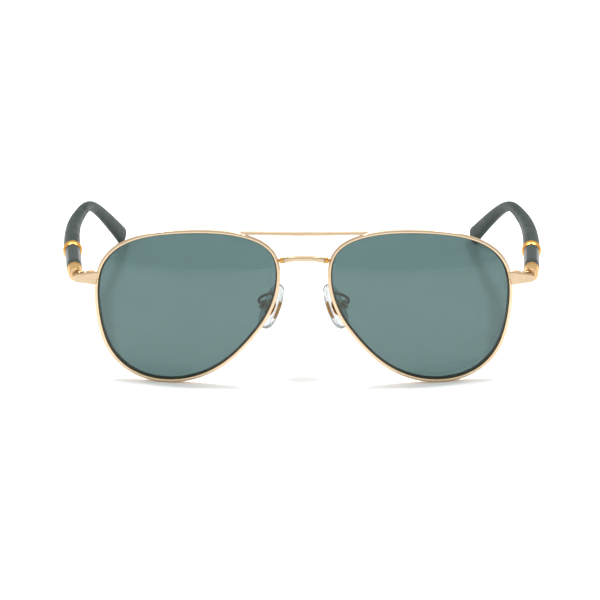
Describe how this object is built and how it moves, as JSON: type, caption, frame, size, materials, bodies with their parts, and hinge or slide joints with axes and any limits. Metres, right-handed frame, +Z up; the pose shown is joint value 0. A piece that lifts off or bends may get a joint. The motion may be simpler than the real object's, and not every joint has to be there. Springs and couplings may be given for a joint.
{
  "type": "aviator sunglasses",
  "caption": "Wire-rimmed aviator sunglasses with a straight brow bar, rocking nose pads, screwed closing blocks and folding temples with a ring behind a polished barrel.",
  "frame": {"origin": "at table height, below the middle of the box round the open glasses", "axes": "+X to the wearer's left, +Y back along the temples, +Z up; the glasses stand open on the rims' lower edges and the temple tips"},
  "size_m": [0.155, 0.1558, 0.051],
  "materials": {
    "gold_frame": "polished pale gold plate",
    "amber_gold": "polished warm gold plate",
    "gold_screws": "turned, lightly brushed",
    "tinted_lens": "smooth green-grey tint",
    "gloss_green": "polished dark green resin",
    "satin_green": "satin dark green",
    "clear_silicone": "clear, slightly milky",
    "core_steel": "drawn wire"
  },
  "bodies": {
    "front": {"right_rim": "gold_frame", "left_rim": "gold_frame", "right_lens": "tinted_lens", "left_lens": "tinted_lens", "brow_bar": "gold_frame", "bridge": "gold_frame", "right_endpiece": "gold_frame", "left_endpiece": "gold_frame", "right_closing_block": "gold_frame", "left_closing_block": "gold_frame", "rim_screws": "gold_screws", "right_pad_arm": "gold_frame", "left_pad_arm": "gold_frame", "right_pad_box": "gold_frame", "left_pad_box": "gold_frame", "pad_screws": "gold_screws", "right_hinge_front": "gold_frame", "left_hinge_front": "gold_frame", "hinge_screws": "gold_screws"},
    "right_temple": {"right_hinge_rear": "gold_frame", "right_ferrule": "gold_frame", "right_barrel": "gloss_green", "right_ring": "amber_gold", "right_temple": "satin_green", "right_core_wire": "core_steel"},
    "left_temple": {"left_hinge_rear": "gold_frame", "left_ferrule": "gold_frame", "left_barrel": "gloss_green", "left_ring": "amber_gold", "left_temple": "satin_green", "left_core_wire": "core_steel"},
    "right_pad": {"right_nose_pad": "clear_silicone", "right_pad_core": "amber_gold"},
    "left_pad": {"left_nose_pad": "clear_silicone", "left_pad_core": "amber_gold"}
  },
  "joints": [
    {"name": "left_temple_fold", "type": "hinge", "parent": "front", "child": "left_temple", "pos_m": [0.0704, -0.0652, 0.0325], "axis": [0, 0.0785, 0.9969], "range_deg": [0, 86]},
    {"name": "right_temple_fold", "type": "hinge", "parent": "front", "child": "right_temple", "pos_m": [-0.0704, -0.0652, 0.0325], "axis": [0, -0.0785, -0.9969], "range_deg": [0, 72]},
    {"name": "left_pad_rock", "type": "hinge", "parent": "front", "child": "left_pad", "pos_m": [0.01212, -0.07046, 0.02472], "axis": [0.6428, 0.766, 0], "range_deg": [-9, 9]},
    {"name": "right_pad_rock", "type": "hinge", "parent": "front", "child": "right_pad", "pos_m": [-0.01212, -0.07046, 0.02472], "axis": [-0.6428, 0.766, 0], "range_deg": [-9, 9]}
  ]
}
